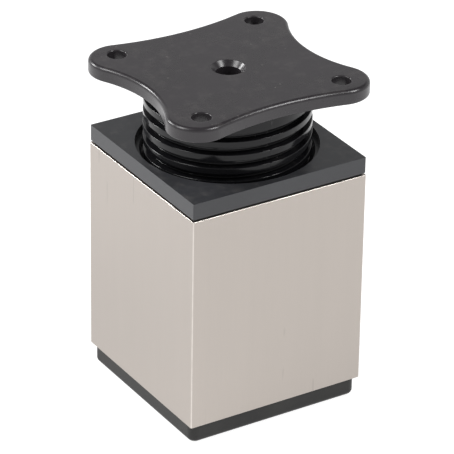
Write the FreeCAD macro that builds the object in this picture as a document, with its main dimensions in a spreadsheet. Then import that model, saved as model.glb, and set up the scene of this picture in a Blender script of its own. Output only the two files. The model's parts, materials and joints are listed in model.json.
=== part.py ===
import FreeCAD, Part
import os
import Sketcher
from FreeCAD import Vector

# Adjustable square furniture foot, closed height 86 mm, shown raised by 20 mm.
# Origin at the middle of the underside, +Z up, millimetres. A lobed screw-on plate carries a
# coarse threaded barrel that turns in a collar. The collar closes the top of a square metal
# sleeve, a shoe closes the bottom, and four long screws hold collar and shoe together.

SIZES = [
    # alias, value in mm (or degrees), meaning
    ("sleeve_side", 60.0, "outer side of the square sleeve"),
    ("sleeve_wall", 1.5, "wall of the sleeve"),
    ("sleeve_edge", 0.5, "radius of the sleeve's upright outer edges"),
    ("sleeve_end_break", 0.2, "edge break round the sleeve's cut ends"),
    ("sleeve_bottom", 6.05, "height of the sleeve's lower end"),
    ("sleeve_top", 75.55, "height of the sleeve's upper end"),
    ("shoe_side", 58.4, "side of the shoe below the sleeve"),
    ("shoe_corner", 2.5, "upright corner radius of the shoe"),
    ("shoe_sole_edge", 1.5, "radius round the sole"),
    ("shoe_floor", 3.2, "thickness of the shoe's floor"),
    ("shoe_rim_top", 18.0, "top of the shoe's rim inside the sleeve"),
    ("shoe_rib_top", 14.0, "top of the shoe's cross ribs"),
    ("sole_recess_side", 34.0, "side of the shallow recess under the shoe"),
    ("sole_recess_depth", 0.8, "depth of that recess"),
    ("post_top", 37.0, "top of the shoe's screw posts"),
    ("post_gap", 0.4, "gap between the shoe's posts and the collar's"),
    ("post_spacing", 23.6, "screw axis to each centre plane"),
    ("post_radius", 4.0, "radius of a screw post"),
    ("rim_side", 56.6, "outer side of the rims that fit inside the sleeve"),
    ("rim_wall", 2.0, "wall of those rims"),
    ("rib_wall", 1.8, "thickness of ribs and webs"),
    ("cap_side", 59.6, "side of the collar's visible cap"),
    ("cap_corner", 0.3, "upright corner radius of the cap"),
    ("cap_lower_edge", 0.25, "radius round the cap's lower edge"),
    ("cap_bottom", 76.1, "underside of the visible cap"),
    ("cap_top", 81.3, "top of the cap"),
    ("shoulder_side", 58.0, "side of the shoulder that rests on the sleeve"),
    ("collar_rim_bottom", 63.5, "lower end of the collar's rim"),
    ("tube_radius", 27.9, "outside of the threaded tube"),
    ("tube_bottom", 56.2, "lower end of the threaded tube"),
    ("mouth_radius", 27.6, "mouth of the collar at its top face"),
    ("mouth_depth", 2.0, "depth of the mouth down to the ledge"),
    ("ledge_radius", 26.3, "inner edge of the ledge"),
    ("pitch", 4.3, "thread pitch, one start, right hand"),
    ("crest_radius", 25.2, "barrel thread, outside"),
    ("root_radius", 23.2, "barrel thread, bottom of the groove"),
    ("groove_crest", 2.3, "width of the barrel's groove at the crest"),
    ("groove_root", 1.5, "width of the barrel's groove at the root"),
    ("thread_gap", 0.4, "radial gap between the two threads"),
    ("flank_gap", 0.28, "axial gap on each flank"),
    ("groove_level", 96.2, "groove centre on the +X side, top turn"),
    ("barrel_turns", 11.7, "turns cut in the barrel"),
    ("collar_turns", 7.4, "turns cut in the collar"),
    ("barrel_bottom", 47.0, "lower end of the barrel"),
    ("barrel_bore", 18.9, "inside radius of the barrel"),
    ("pilot_radius", 22.9, "plain end of the barrel"),
    ("pilot_top", 52.0, "top of the plain end"),
    ("ring_seat_radius", 21.4, "bottom of the ring seat in the plain end"),
    ("ring_seat_bottom", 48.5, "lower side of the ring seat"),
    ("ring_seat_width", 2.4, "width of the ring seat"),
    ("ring_gap", 0.2, "gap above, below and inside the stop ring"),
    ("ring_radius", 25.0, "outside of the stop ring"),
    ("ring_angle", 322.0, "degrees of ring left beside its opening"),
    ("plate_bottom", 101.1, "underside of the plate"),
    ("plate_thickness", 4.5, "thickness of the plate"),
    ("plate_upper_edge", 1.3, "radius round the plate's upper edge"),
    ("plate_lower_edge", 0.5, "radius round the plate's lower edge"),
    ("lobe_x", 24.1, "lobe centre from the YZ plane"),
    ("lobe_y", 22.2, "lobe centre from the XZ plane"),
    ("lobe_radius", 9.4, "radius of a lobe"),
    ("waist_side", 37.0, "hollow radius of the +X and -X edges"),
    ("waist_front", 85.0, "hollow radius of the +Y and -Y edges"),
    ("hole_spacing", 48.0, "screw hole spacing, both ways"),
    ("hole_radius", 2.9, "radius of a screw hole"),
    ("hole_break", 0.35, "edge break of a screw hole"),
    ("centre_radius", 3.75, "radius of the centre hole"),
    ("centre_sink", 1.5, "depth of the centre hole's 45 degree sink"),
    ("boss_radius", 7.5, "boss round the centre hole, under the plate"),
    ("boss_bottom", 90.65, "lower end of that boss"),
    ("screw_head_radius", 3.5, "head of a tie screw"),
    ("screw_head_height", 2.2, "height of that head"),
    ("screw_head_seat", 2.8, "height of the seat above the sole"),
    ("screw_seat_radius", 3.75, "counterbore for the head"),
    ("screw_radius", 1.75, "shank of a tie screw"),
    ("screw_length", 53.0, "length under the head"),
    ("screw_tip", 2.5, "length of the screw's point"),
    ("screw_slot", 1.0, "width of the cross recess"),
    ("screw_slot_length", 4.2, "length of the cross recess"),
    ("screw_slot_depth", 1.2, "depth of the cross recess"),
    ("screw_clearance", 2.1, "hole in the shoe's posts"),
    ("screw_pilot", 1.8, "hole in the collar's posts"),
    ("screw_pilot_top", 59.0, "blind end of that hole"),
]

doc = FreeCAD.newDocument("LevelingFoot")
sheet = doc.addObject("Spreadsheet::Sheet", "Sizes")
for row, (alias, value, meaning) in enumerate(SIZES, start=1):
    sheet.set("A%d" % row, alias)
    sheet.set("B%d" % row, str(value))
    sheet.set("C%d" % row, meaning)
    sheet.setAlias("B%d" % row, alias)
doc.recompute()


def value_of(expression):
    """Number that an expression such as Sizes.pitch * 2 has now."""
    return float(sheet.evalExpression(expression))


def new_body(label):
    body = doc.addObject("PartDesign::Body", label)
    body.Label = label
    return body


def origin_feature(body, role):
    """The body's own origin plane or axis with this role."""
    return next(item for item in body.Origin.OriginFeatures if item.Role == role)


def new_sketch(body, name, plane="XY_Plane", level=None):
    """Sketch on an origin plane of the body, raised to the level expression if one is given."""
    sketch = body.newObject("Sketcher::SketchObject", name)
    sketch.AttachmentSupport = (origin_feature(body, plane), [""])
    sketch.MapMode = "FlatFace"
    if level:
        sketch.setExpression("AttachmentOffset.Base.z", level)
    return sketch


def dimension(sketch, kind, refs, expression):
    """Dimension of a sketch, bound to an expression."""
    index = sketch.addConstraint(Sketcher.Constraint(kind, *refs, value_of(expression)))
    sketch.setExpression("Constraints[%d]" % index, expression)


def draw_polygon(sketch, corners):
    """Closed polygon whose corners are pairs of expressions, each corner dimensioned."""
    points = [Vector(value_of(x), value_of(y), 0) for x, y in corners]
    first = sketch.GeometryCount
    for start, end in zip(points, points[1:] + points[:1]):
        sketch.addGeometry(Part.LineSegment(start, end), False)
    for number, (x, y) in enumerate(corners):
        before = first + (number - 1) % len(corners)
        sketch.addConstraint(Sketcher.Constraint("Coincident", before, 2, first + number, 1))
        dimension(sketch, "DistanceX", (-1, 1, first + number, 1), x)
        dimension(sketch, "DistanceY", (-1, 1, first + number, 1), y)


def draw_square(sketch, side):
    """Square about the origin."""
    half = "(%s) / 2" % side
    draw_polygon(sketch, [("-" + half, "-" + half), (half, "-" + half), (half, half), ("-" + half, half)])


def draw_circle(sketch, radius, x="0", y="0"):
    """Circle with its centre at x, y."""
    centre = Vector(value_of(x), value_of(y), 0)
    index = sketch.addGeometry(Part.Circle(centre, Vector(0, 0, 1), value_of(radius)), False)
    dimension(sketch, "Radius", (index,), radius)
    dimension(sketch, "DistanceX", (-1, 1, index, 3), x)
    dimension(sketch, "DistanceY", (-1, 1, index, 3), y)


def draw_corner_circles(sketch, radius, spacing):
    """Four circles, one in each quadrant, at the spacing from both centre planes."""
    for x_sign, y_sign in ((1, 1), (-1, 1), (-1, -1), (1, -1)):
        draw_circle(sketch, radius, "%d * %s" % (x_sign, spacing), "%d * %s" % (y_sign, spacing))


def pad(body, sketch, name, height):
    """Material from the sketch upward by the height expression."""
    feature = body.newObject("PartDesign::Pad", name)
    feature.Profile = sketch
    feature.Length = value_of(height)
    feature.setExpression("Length", height)
    doc.recompute()
    return feature


def pocket(body, sketch, name, height):
    """Cut from the sketch upward by the height expression."""
    before = body.Shape.Volume
    feature = body.newObject("PartDesign::Pocket", name)
    feature.Profile = sketch
    feature.Reversed = True
    feature.Length = value_of(height)
    feature.setExpression("Length", height)
    doc.recompute()
    if body.Shape.Volume >= before:
        raise RuntimeError("%s cut nothing" % name)
    return feature


def turned(body, kind, sketch, name, angle="360"):
    """Revolution or Groove of a sketch about its own upright axis."""
    feature = body.newObject("PartDesign::" + kind, name)
    feature.Profile = sketch
    feature.ReferenceAxis = (sketch, ["V_Axis"])
    feature.Angle = value_of(angle)
    feature.setExpression("Angle", angle)
    doc.recompute()
    return feature


def level_edges(shape, level, closed_only=False):
    """Names of the edges that lie wholly at this height."""
    names = []
    for number, edge in enumerate(shape.Edges, start=1):
        flat = edge.BoundBox.ZLength < 1e-4 and abs(edge.BoundBox.ZMin - level) < 1e-4
        if flat and (edge.isClosed() or not closed_only):
            names.append("Edge%d" % number)
    return names


def upright_edges(shape, lowest, highest):
    """Names of the edges that run straight up between two heights."""
    names = []
    for number, edge in enumerate(shape.Edges, start=1):
        box = edge.BoundBox
        upright = box.XLength < 1e-4 and box.YLength < 1e-4
        if upright and abs(box.ZMin - lowest) < 1e-4 and abs(box.ZMax - highest) < 1e-4:
            names.append("Edge%d" % number)
    return names


def dress(body, kind, base, edges, name, size):
    """Fillet or Chamfer on named edges of a feature."""
    feature = body.newObject("PartDesign::" + kind, name)
    feature.Base = (base, edges)
    prop = "Radius" if kind == "Fillet" else "Size"
    setattr(feature, prop, value_of(size))
    feature.setExpression(prop, size)
    doc.recompute()
    return feature


def thread_groove(body, name, level, half_inner, inner, half_outer, outer, turns):
    """Right-hand helical cut. Its section is dimensioned at an inner and an outer radius."""
    sketch = new_sketch(body, name + "Section", "XZ_Plane")
    draw_polygon(sketch, [
        (inner, "%s - (%s)" % (level, half_inner)),
        (outer, "%s - (%s)" % (level, half_outer)),
        (outer, "%s + (%s)" % (level, half_outer)),
        (inner, "%s + (%s)" % (level, half_inner)),
    ])
    helix = body.newObject("PartDesign::SubtractiveHelix", name)
    helix.Profile = sketch
    helix.ReferenceAxis = (sketch, ["V_Axis"])
    helix.Mode = "pitch-turns-angle"
    helix.Pitch = value_of("Sizes.pitch")
    helix.setExpression("Pitch", "Sizes.pitch")
    helix.Turns = value_of(turns)
    helix.setExpression("Turns", turns)
    doc.recompute()
    return helix


def make_sleeve():
    """Square metal tube, open at both ends."""
    body = new_body("sleeve")
    sketch = new_sketch(body, "TubeSection", level="Sizes.sleeve_bottom")
    draw_square(sketch, "Sizes.sleeve_side")
    tube = pad(body, sketch, "Tube", "Sizes.sleeve_top - Sizes.sleeve_bottom")
    corners = upright_edges(tube.Shape, value_of("Sizes.sleeve_bottom"), value_of("Sizes.sleeve_top"))
    rounded = dress(body, "Fillet", tube, corners, "OuterEdges", "Sizes.sleeve_edge")
    ends = [name for level in ("Sizes.sleeve_bottom", "Sizes.sleeve_top")
            for name in level_edges(rounded.Shape, value_of(level))]
    dress(body, "Chamfer", rounded, ends, "CutEnds", "Sizes.sleeve_end_break")
    hollow = new_sketch(body, "HollowSection", level="Sizes.sleeve_bottom - 1")
    draw_square(hollow, "Sizes.sleeve_side - 2 * Sizes.sleeve_wall")
    pocket(body, hollow, "Hollow", "Sizes.sleeve_top - Sizes.sleeve_bottom + 2")
    return body


def make_base_shoe():
    """Moulded shoe: a rounded sole below the sleeve, a rim, ribs and screw posts inside it."""
    body = new_body("base_shoe")
    sketch = new_sketch(body, "SoleOutline")
    draw_square(sketch, "Sizes.shoe_side")
    sole = pad(body, sketch, "Sole", "Sizes.sleeve_bottom")
    corners = upright_edges(sole.Shape, 0, value_of("Sizes.sleeve_bottom"))
    rounded = dress(body, "Fillet", sole, corners, "SoleCorners", "Sizes.shoe_corner")
    dress(body, "Fillet", rounded, level_edges(rounded.Shape, 0), "SoleEdge", "Sizes.shoe_sole_edge")

    rim = new_sketch(body, "RimOutline", level="Sizes.sleeve_bottom")
    draw_square(rim, "Sizes.rim_side")
    pad(body, rim, "Rim", "Sizes.shoe_rim_top - Sizes.sleeve_bottom")
    hollow = new_sketch(body, "RimHollow", level="Sizes.shoe_floor")
    draw_square(hollow, "Sizes.rim_side - 2 * Sizes.rim_wall")
    pocket(body, hollow, "Hollow", "Sizes.shoe_rim_top")

    half = "(Sizes.rim_side - Sizes.rim_wall) / 2"
    for name, x, y in (("RibAlongX", half, "Sizes.rib_wall / 2"), ("RibAlongY", "Sizes.rib_wall / 2", half)):
        rib = new_sketch(body, name + "Outline", level="Sizes.shoe_floor")
        draw_polygon(rib, [("-" + x, "-" + y), (x, "-" + y), (x, y), ("-" + x, y)])
        pad(body, rib, name, "Sizes.shoe_rib_top - Sizes.shoe_floor")
    posts = new_sketch(body, "PostCircles", level="Sizes.shoe_floor")
    draw_corner_circles(posts, "Sizes.post_radius", "Sizes.post_spacing")
    pad(body, posts, "Posts", "Sizes.post_top - Sizes.shoe_floor")

    recess = new_sketch(body, "SoleRecessOutline")
    draw_square(recess, "Sizes.sole_recess_side")
    pocket(body, recess, "SoleRecess", "Sizes.sole_recess_depth")
    seats = new_sketch(body, "HeadSeats")
    draw_corner_circles(seats, "Sizes.screw_seat_radius", "Sizes.post_spacing")
    pocket(body, seats, "HeadSeatCuts", "Sizes.screw_head_seat")
    holes = new_sketch(body, "ShankHoles")
    draw_corner_circles(holes, "Sizes.screw_clearance", "Sizes.post_spacing")
    pocket(body, holes, "ShankHoleCuts", "Sizes.post_top + 1")
    return body


def make_thread_collar():
    """Moulded collar: visible cap, shoulder on the sleeve, rim, threaded tube and screw posts."""
    body = new_body("thread_collar")
    sketch = new_sketch(body, "CapOutline", level="Sizes.cap_bottom")
    draw_square(sketch, "Sizes.cap_side")
    cap = pad(body, sketch, "Cap", "Sizes.cap_top - Sizes.cap_bottom")
    corners = upright_edges(cap.Shape, value_of("Sizes.cap_bottom"), value_of("Sizes.cap_top"))
    rounded = dress(body, "Fillet", cap, corners, "CapCorners", "Sizes.cap_corner")
    lower = level_edges(rounded.Shape, value_of("Sizes.cap_bottom"))
    dress(body, "Fillet", rounded, lower, "CapLowerEdge", "Sizes.cap_lower_edge")

    shoulder = new_sketch(body, "ShoulderOutline", level="Sizes.sleeve_top")
    draw_square(shoulder, "Sizes.shoulder_side")
    pad(body, shoulder, "Shoulder", "Sizes.cap_bottom - Sizes.sleeve_top")
    rim = new_sketch(body, "RimOutline", level="Sizes.collar_rim_bottom")
    draw_square(rim, "Sizes.rim_side")
    pad(body, rim, "Rim", "Sizes.sleeve_top - Sizes.collar_rim_bottom")
    hollow = new_sketch(body, "RimHollow", level="Sizes.collar_rim_bottom - 1")
    draw_square(hollow, "Sizes.rim_side - 2 * Sizes.rim_wall")
    pocket(body, hollow, "Hollow", "Sizes.sleeve_top - Sizes.collar_rim_bottom + 1")

    tube = new_sketch(body, "TubeCircle", level="Sizes.tube_bottom")
    draw_circle(tube, "Sizes.tube_radius")
    pad(body, tube, "Tube", "Sizes.sleeve_top - Sizes.tube_bottom")
    posts = new_sketch(body, "PostCircles", level="Sizes.post_top + Sizes.post_gap")
    draw_corner_circles(posts, "Sizes.post_radius", "Sizes.post_spacing")
    pad(body, posts, "Posts", "Sizes.sleeve_top - Sizes.post_top - Sizes.post_gap")
    web = new_sketch(body, "WebSection", level="Sizes.tube_bottom")
    inner, outer, wide = "Sizes.post_spacing - 5", "Sizes.post_spacing", "Sizes.rib_wall / 2"
    for x_sign, y_sign in ((1, 1), (-1, 1), (-1, -1), (1, -1)):
        corners = ((inner, inner, 1), (outer, outer, 1), (outer, outer, -1), (inner, inner, -1))
        draw_polygon(web, [("%d * (%s + %d * %s)" % (x_sign, x, side, wide),
                            "%d * (%s - %d * %s)" % (y_sign, y, side, wide)) for x, y, side in corners])
    pad(body, web, "Webs", "Sizes.sleeve_top - Sizes.tube_bottom")

    pilots = new_sketch(body, "PilotHoles", level="Sizes.post_top")
    draw_corner_circles(pilots, "Sizes.screw_pilot", "Sizes.post_spacing")
    pocket(body, pilots, "PilotHoleCuts", "Sizes.screw_pilot_top - Sizes.post_top")

    crest = "(Sizes.root_radius + Sizes.thread_gap)"
    floor = "(Sizes.cap_top - Sizes.mouth_depth)"
    bore = new_sketch(body, "BoreSection", "XZ_Plane")
    draw_polygon(bore, [
        ("0", "Sizes.tube_bottom - 1"),
        (crest, "Sizes.tube_bottom - 1"),
        (crest, "%s - (Sizes.ledge_radius - %s)" % (floor, crest)),
        ("Sizes.ledge_radius", floor),
        ("Sizes.mouth_radius", floor),
        ("Sizes.mouth_radius", "Sizes.cap_top + 1"),
        ("0", "Sizes.cap_top + 1"),
    ])
    turned(body, "Groove", bore, "Bore")

    # The collar's ridge sits in the middle of the barrel's groove, less the flank gap. What is cut
    # here is the space between ridges, half a pitch away from the ridge.
    slope = "(Sizes.groove_crest - Sizes.groove_root) / 2 / (Sizes.crest_radius - Sizes.root_radius)"
    inner = "Sizes.root_radius"
    outer = "Sizes.crest_radius + Sizes.thread_gap"
    half_space = "Sizes.pitch / 2 - Sizes.groove_root / 2 + Sizes.flank_gap"
    thread_groove(
        body, "CollarThread", "Sizes.groove_level + Sizes.pitch / 2 - 11 * Sizes.pitch",
        half_space, inner,
        "%s - %s * (%s - %s)" % (half_space, slope, outer, inner), outer, "Sizes.collar_turns")
    return body


def draw_plate_outline(sketch):
    """Four lobes joined by hollow arcs, every junction tangent."""
    lobe_x, lobe_y, lobe = (value_of("Sizes." + name) for name in ("lobe_x", "lobe_y", "lobe_radius"))
    waists = {"side": value_of("Sizes.waist_side"), "front": value_of("Sizes.waist_front")}
    reach = {
        "side": lobe_x + ((waists["side"] + lobe) ** 2 - lobe_y ** 2) ** 0.5,
        "front": lobe_y + ((waists["front"] + lobe) ** 2 - lobe_x ** 2) ** 0.5,
    }
    quadrants = [(1, 1), (-1, 1), (-1, -1), (1, -1)]
    hollows = [("front", 0, 1), ("side", -1, 0), ("front", 0, -1), ("side", 1, 0)]
    lobe_centres = [Vector(lobe_x * x, lobe_y * y, 0) for x, y in quadrants]
    waist_centres = [Vector(reach[kind] * x, reach[kind] * y, 0) for kind, x, y in hollows]

    def joint(lobe_centre, waist_centre):
        return lobe_centre + (waist_centre - lobe_centre).normalize() * lobe

    def arc(centre, start, end, radius):
        """Counter-clockwise arc."""
        spin = [(point - centre) for point in (start, end)]
        angles = [Vector(1, 0, 0).getAngle(v) * (1 if v.y >= 0 else -1) for v in spin]
        return Part.ArcOfCircle(Part.Circle(centre, Vector(0, 0, 1), radius), *angles)

    for number, centre in enumerate(lobe_centres):
        before, after = waist_centres[number - 1], waist_centres[number]
        sketch.addGeometry(arc(centre, joint(centre, before), joint(centre, after), lobe), False)
    for number, centre in enumerate(waist_centres):
        near, far = lobe_centres[number], lobe_centres[(number + 1) % 4]
        radius = waists[hollows[number][0]]
        sketch.addGeometry(arc(centre, joint(far, centre), joint(near, centre), radius), False)

    for number, (x, y) in enumerate(quadrants):
        dimension(sketch, "DistanceX", (-1, 1, number, 3), "%d * Sizes.lobe_x" % x)
        dimension(sketch, "DistanceY", (-1, 1, number, 3), "%d * Sizes.lobe_y" % y)
        dimension(sketch, "Radius", (number,), "Sizes.lobe_radius")
        dimension(sketch, "Radius", (4 + number,), "Sizes.waist_" + hollows[number][0])
        sketch.addConstraint(Sketcher.Constraint("Tangent", number, 2, 4 + number, 2))
        sketch.addConstraint(Sketcher.Constraint("Tangent", 4 + number, 1, (number + 1) % 4, 1))


def make_mounting_plate():
    """Lobed plate and threaded barrel in one moulding."""
    body = new_body("mounting_plate")
    outline = new_sketch(body, "PlateOutline", level="Sizes.plate_bottom")
    draw_plate_outline(outline)
    plate = pad(body, outline, "Plate", "Sizes.plate_thickness")
    top = value_of("Sizes.plate_bottom + Sizes.plate_thickness")
    upper = dress(body, "Fillet", plate, level_edges(plate.Shape, top), "UpperEdge", "Sizes.plate_upper_edge")
    lower = level_edges(upper.Shape, value_of("Sizes.plate_bottom"))
    dress(body, "Fillet", upper, lower, "LowerEdge", "Sizes.plate_lower_edge")

    barrel = new_sketch(body, "BarrelSection", "XZ_Plane")
    seat_top = "(Sizes.ring_seat_bottom + Sizes.ring_seat_width)"
    draw_polygon(barrel, [
        ("Sizes.barrel_bore", "Sizes.barrel_bottom"),
        ("Sizes.pilot_radius", "Sizes.barrel_bottom"),
        ("Sizes.pilot_radius", "Sizes.ring_seat_bottom"),
        ("Sizes.ring_seat_radius", "Sizes.ring_seat_bottom"),
        ("Sizes.ring_seat_radius", seat_top),
        ("Sizes.pilot_radius", seat_top),
        ("Sizes.pilot_radius", "Sizes.pilot_top"),
        ("Sizes.crest_radius", "Sizes.pilot_top + Sizes.crest_radius - Sizes.pilot_radius"),
        ("Sizes.crest_radius", "Sizes.plate_bottom"),
        ("Sizes.barrel_bore", "Sizes.plate_bottom"),
    ])
    turned(body, "Revolution", barrel, "Barrel")
    boss = new_sketch(body, "BossCircle", level="Sizes.boss_bottom")
    draw_circle(boss, "Sizes.boss_radius")
    pad(body, boss, "Boss", "Sizes.plate_bottom - Sizes.boss_bottom")
    half = "(Sizes.barrel_bore + 1)"
    for name, x, y in (("RibAlongX", half, "Sizes.rib_wall / 2"), ("RibAlongY", "Sizes.rib_wall / 2", half)):
        rib = new_sketch(body, name + "Outline", level="Sizes.boss_bottom + 1")
        draw_polygon(rib, [("-" + x, "-" + y), (x, "-" + y), (x, y), ("-" + x, y)])
        pad(body, rib, name, "Sizes.plate_bottom - Sizes.boss_bottom - 1")

    thread_groove(
        body, "BarrelThread", "Sizes.groove_level - 11 * Sizes.pitch",
        "Sizes.groove_root / 2", "Sizes.root_radius",
        "(Sizes.groove_crest + (Sizes.groove_crest - Sizes.groove_root) / 4) / 2",
        "Sizes.crest_radius + (Sizes.crest_radius - Sizes.root_radius) / 4", "Sizes.barrel_turns")

    centre = new_sketch(body, "CentreHoleSection", "XZ_Plane")
    top_level = "(Sizes.plate_bottom + Sizes.plate_thickness)"
    draw_polygon(centre, [
        ("0", "Sizes.boss_bottom - 1"),
        ("Sizes.centre_radius", "Sizes.boss_bottom - 1"),
        ("Sizes.centre_radius", top_level + " - Sizes.centre_sink"),
        ("Sizes.centre_radius + Sizes.centre_sink", top_level),
        ("Sizes.centre_radius + Sizes.centre_sink", top_level + " + 1"),
        ("0", top_level + " + 1"),
    ])
    turned(body, "Groove", centre, "CentreHole")
    holes = new_sketch(body, "ScrewHoleCircles", level="Sizes.plate_bottom - 1")
    draw_corner_circles(holes, "Sizes.hole_radius", "Sizes.hole_spacing / 2")
    drilled = pocket(body, holes, "ScrewHoles", "Sizes.plate_thickness + 2")
    mouths = [name for name in level_edges(drilled.Shape, top, closed_only=True)
              if abs(drilled.Shape.getElement(name).Curve.Radius - value_of("Sizes.hole_radius")) < 1e-6]
    dress(body, "Chamfer", drilled, mouths, "ScrewHoleMouths", "Sizes.hole_break")
    return body


def make_stop_ring():
    """Open snap ring on the barrel's plain end. It meets the tube when the plate is fully raised."""
    body = new_body("stop_ring")
    section = new_sketch(body, "RingSection", "XZ_Plane")
    inner = "Sizes.ring_seat_radius + Sizes.ring_gap"
    bottom = "Sizes.ring_seat_bottom + Sizes.ring_gap"
    top = "Sizes.ring_seat_bottom + Sizes.ring_seat_width - Sizes.ring_gap"
    draw_polygon(section, [(inner, bottom), ("Sizes.ring_radius", bottom), ("Sizes.ring_radius", top), (inner, top)])
    turned(body, "Revolution", section, "Ring", "Sizes.ring_angle")
    return body


def make_tie_screws():
    """Four long pan-head screws from the sole up into the collar's posts."""
    body = new_body("tie_screws")
    body.AllowCompound = True
    section = new_sketch(body, "ScrewSection", "XZ_Plane", "-Sizes.post_spacing")
    section.setExpression("AttachmentOffset.Base.x", "Sizes.post_spacing")
    seat = "Sizes.screw_head_seat"
    end = "(%s + Sizes.screw_length)" % seat
    draw_polygon(section, [
        ("0", seat + " - Sizes.screw_head_height"),
        ("Sizes.screw_head_radius - 0.6", seat + " - Sizes.screw_head_height"),
        ("Sizes.screw_head_radius", seat + " - Sizes.screw_head_height + 0.6"),
        ("Sizes.screw_head_radius", seat),
        ("Sizes.screw_radius", seat),
        ("Sizes.screw_radius", end + " - Sizes.screw_tip"),
        ("0", end),
    ])
    blank = turned(body, "Revolution", section, "Screw")
    slots = new_sketch(body, "CrossRecess", level=seat + " - Sizes.screw_head_height")
    long, wide = "Sizes.screw_slot_length / 2", "Sizes.screw_slot / 2"
    outline = [(long, wide, 1, -1), (long, wide, 1, 1), (wide, wide, 1, 1), (wide, long, 1, 1),
               (wide, long, -1, 1), (wide, wide, -1, 1), (long, wide, -1, 1), (long, wide, -1, -1),
               (wide, wide, -1, -1), (wide, long, -1, -1), (wide, long, 1, -1), (wide, wide, 1, -1)]
    draw_polygon(slots, [("Sizes.post_spacing + %d * %s" % (x_sign, x), "Sizes.post_spacing + %d * %s" % (y_sign, y))
                         for x, y, x_sign, y_sign in outline])
    recess = pocket(body, slots, "Recess", "Sizes.screw_slot_depth")
    pattern = body.newObject("PartDesign::PolarPattern", "FourScrews")
    pattern.Originals = [blank, recess]
    pattern.Axis = (origin_feature(body, "Z_Axis"), [""])
    pattern.Angle = 360
    pattern.Occurrences = 4
    body.Tip = pattern
    doc.recompute()
    return body


parts = [make_sleeve(), make_base_shoe(), make_thread_collar(), make_mounting_plate(), make_stop_ring(),
         make_tie_screws()]
doc.recompute()
for item in doc.Objects:
    if "Invalid" in item.State or "Error" in item.State:
        raise RuntimeError("%s failed: %s" % (item.Name, item.State))
os.makedirs("parts", exist_ok=True)
for part in parts:
    shape = part.Shape
    if shape.isNull() or not shape.isValid():
        raise RuntimeError("%s has no valid shape" % part.Label)
    shape.exportStep("parts/%s.step" % part.Label)
    print("%s: %d solids, %.0f mm3" % (part.Label, len(shape.Solids), shape.Volume))
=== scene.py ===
"""Looks of an adjustable square furniture foot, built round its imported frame.

The lobed plate, its threaded barrel and the square sleeve are built again here with the soft
edges of real mouldings and bent sheet. The other nodes keep their shape and get new finishes.
"""

import json
import logging
import math
from dataclasses import dataclass
from enum import Enum
from typing import Iterable, Mapping, Sequence

import bmesh
import bpy
from mathutils import Matrix, Vector
from mathutils.geometry import tessellate_polygon


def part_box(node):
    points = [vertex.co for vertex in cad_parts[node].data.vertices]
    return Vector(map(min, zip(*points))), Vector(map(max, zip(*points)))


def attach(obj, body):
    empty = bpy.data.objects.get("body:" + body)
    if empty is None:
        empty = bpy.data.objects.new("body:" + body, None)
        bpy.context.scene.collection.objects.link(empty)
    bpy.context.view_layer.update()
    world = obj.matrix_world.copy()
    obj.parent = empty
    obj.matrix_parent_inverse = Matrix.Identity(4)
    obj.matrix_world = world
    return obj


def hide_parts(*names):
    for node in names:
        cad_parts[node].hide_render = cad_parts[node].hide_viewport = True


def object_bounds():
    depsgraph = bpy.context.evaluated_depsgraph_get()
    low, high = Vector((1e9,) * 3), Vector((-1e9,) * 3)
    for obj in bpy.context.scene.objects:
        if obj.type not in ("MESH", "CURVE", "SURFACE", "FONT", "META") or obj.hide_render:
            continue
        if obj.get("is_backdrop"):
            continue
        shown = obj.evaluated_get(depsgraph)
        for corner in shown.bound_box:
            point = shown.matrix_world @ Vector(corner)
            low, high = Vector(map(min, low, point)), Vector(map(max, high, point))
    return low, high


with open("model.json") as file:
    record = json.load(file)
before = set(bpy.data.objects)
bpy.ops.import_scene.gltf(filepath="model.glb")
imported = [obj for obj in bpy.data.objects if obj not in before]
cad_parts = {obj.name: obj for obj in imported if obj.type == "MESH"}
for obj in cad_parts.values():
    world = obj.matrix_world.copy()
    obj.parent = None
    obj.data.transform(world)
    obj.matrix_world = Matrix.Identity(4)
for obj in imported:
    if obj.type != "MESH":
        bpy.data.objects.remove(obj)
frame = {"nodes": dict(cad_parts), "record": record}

MM = 0.001
FULL_TURN = 2 * math.pi
WELD = 0.002 * MM
CAD_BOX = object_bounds()
Colour = tuple[float, float, float]
Pair = tuple[float, float]
Value = float | tuple[float, ...] | bpy.types.NodeSocket
DUST: Colour = (0.30, 0.28, 0.26)


class Body(Enum):
    """Moving bodies of the foot."""

    HOUSING = "housing"
    LIFT = "lift"
    PLATE = "plate"


class Slot(Enum):
    """Finishes that the record names."""

    SLEEVE = "sleeve_metal"
    SHOE = "shoe_plastic"
    COLLAR = "collar_plastic"
    PLATE = "plate_plastic"
    RING = "ring_steel"
    SCREW = "screw_steel"


class Effect(Enum):
    """Surface effects that several finishes share, each one node group."""

    MOULDED_SKIN = "moulded_skin"
    HANDLING_MARKS = "handling_marks"
    SETTLED_DUST = "settled_dust"
    # edge rub that also paints highlight along the edges
    EDGE_RUB = "edge_rub_and_highlight"
    BRUSH_STROKES = "brush_strokes"
    # painted highlight along rounded corners
    CORNER_POLISH = "painted_corner_highlight"


# ---------------------------------------------------------------- mesh helpers


def arc(centre: Vector, radius: float, start: float, end: float, steps: int) -> list[Vector]:
    """Points along a flat arc.

    Args:
        centre: Centre of the arc.
        radius: Radius of the arc.
        start: First angle in radians.
        end: Last angle in radians.
        steps: Number of equal steps.

    Returns:
        The points, both ends included.
    """
    angles = [start + (end - start) * step / steps for step in range(steps + 1)]
    return [centre + radius * Vector((math.cos(a), math.sin(a))) for a in angles]


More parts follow.
